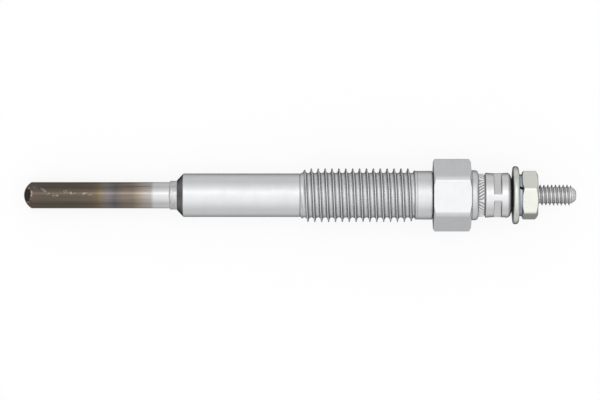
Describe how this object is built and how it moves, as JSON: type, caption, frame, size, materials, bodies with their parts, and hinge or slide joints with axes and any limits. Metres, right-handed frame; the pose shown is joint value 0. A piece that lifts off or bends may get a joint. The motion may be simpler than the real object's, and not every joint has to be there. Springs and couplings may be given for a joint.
{
  "type": "diesel glow plug",
  "caption": "Metal-sheathed diesel glow plug: closed heater sheath with wound coils, threaded housing with sealing cone and hexagon, crimped terminal with washer, lock washer and nut.",
  "frame": {"origin": "on the plug's axis, at the gauge circle where the sealing cone meets the barrel", "axes": "+X along the axis towards the terminal, +Z out of one flat of the housing's hexagon"},
  "size_m": [0.1001, 0.0132, 0.0118],
  "materials": {
    "heat_tinted_sheath": "drawn sheath, dark brown with blue and straw heat tints, bright near the housing",
    "plated_steel": "satin nickel plate",
    "resistance_wire": "oxidised resistance wire",
    "packed_magnesia": "packed white powder",
    "rod_steel": "plated steel with a rolled thread",
    "seal_rubber": "moulded rubber",
    "moulded_insulator": "moulded insulator with a knurled rim",
    "ferrule_steel": "bright nickel plate",
    "washer_zinc": "bright zinc plate",
    "spring_steel": "bluish zinc plate",
    "nut_zinc": "zinc plate with a slight straw tint"
  },
  "bodies": {
    "root": {"glow_tube": "heat_tinted_sheath", "body_shell": "plated_steel", "heating_coil": "resistance_wire", "control_coil": "resistance_wire", "magnesia_filling": "packed_magnesia", "centre_rod": "rod_steel", "sheath_seal": "seal_rubber", "o_ring": "seal_rubber", "insulator_bush": "moulded_insulator", "crimp_ferrule": "ferrule_steel", "flat_washer": "washer_zinc", "lock_washer": "spring_steel", "hex_nut": "nut_zinc"}
  },
  "joints": []
}
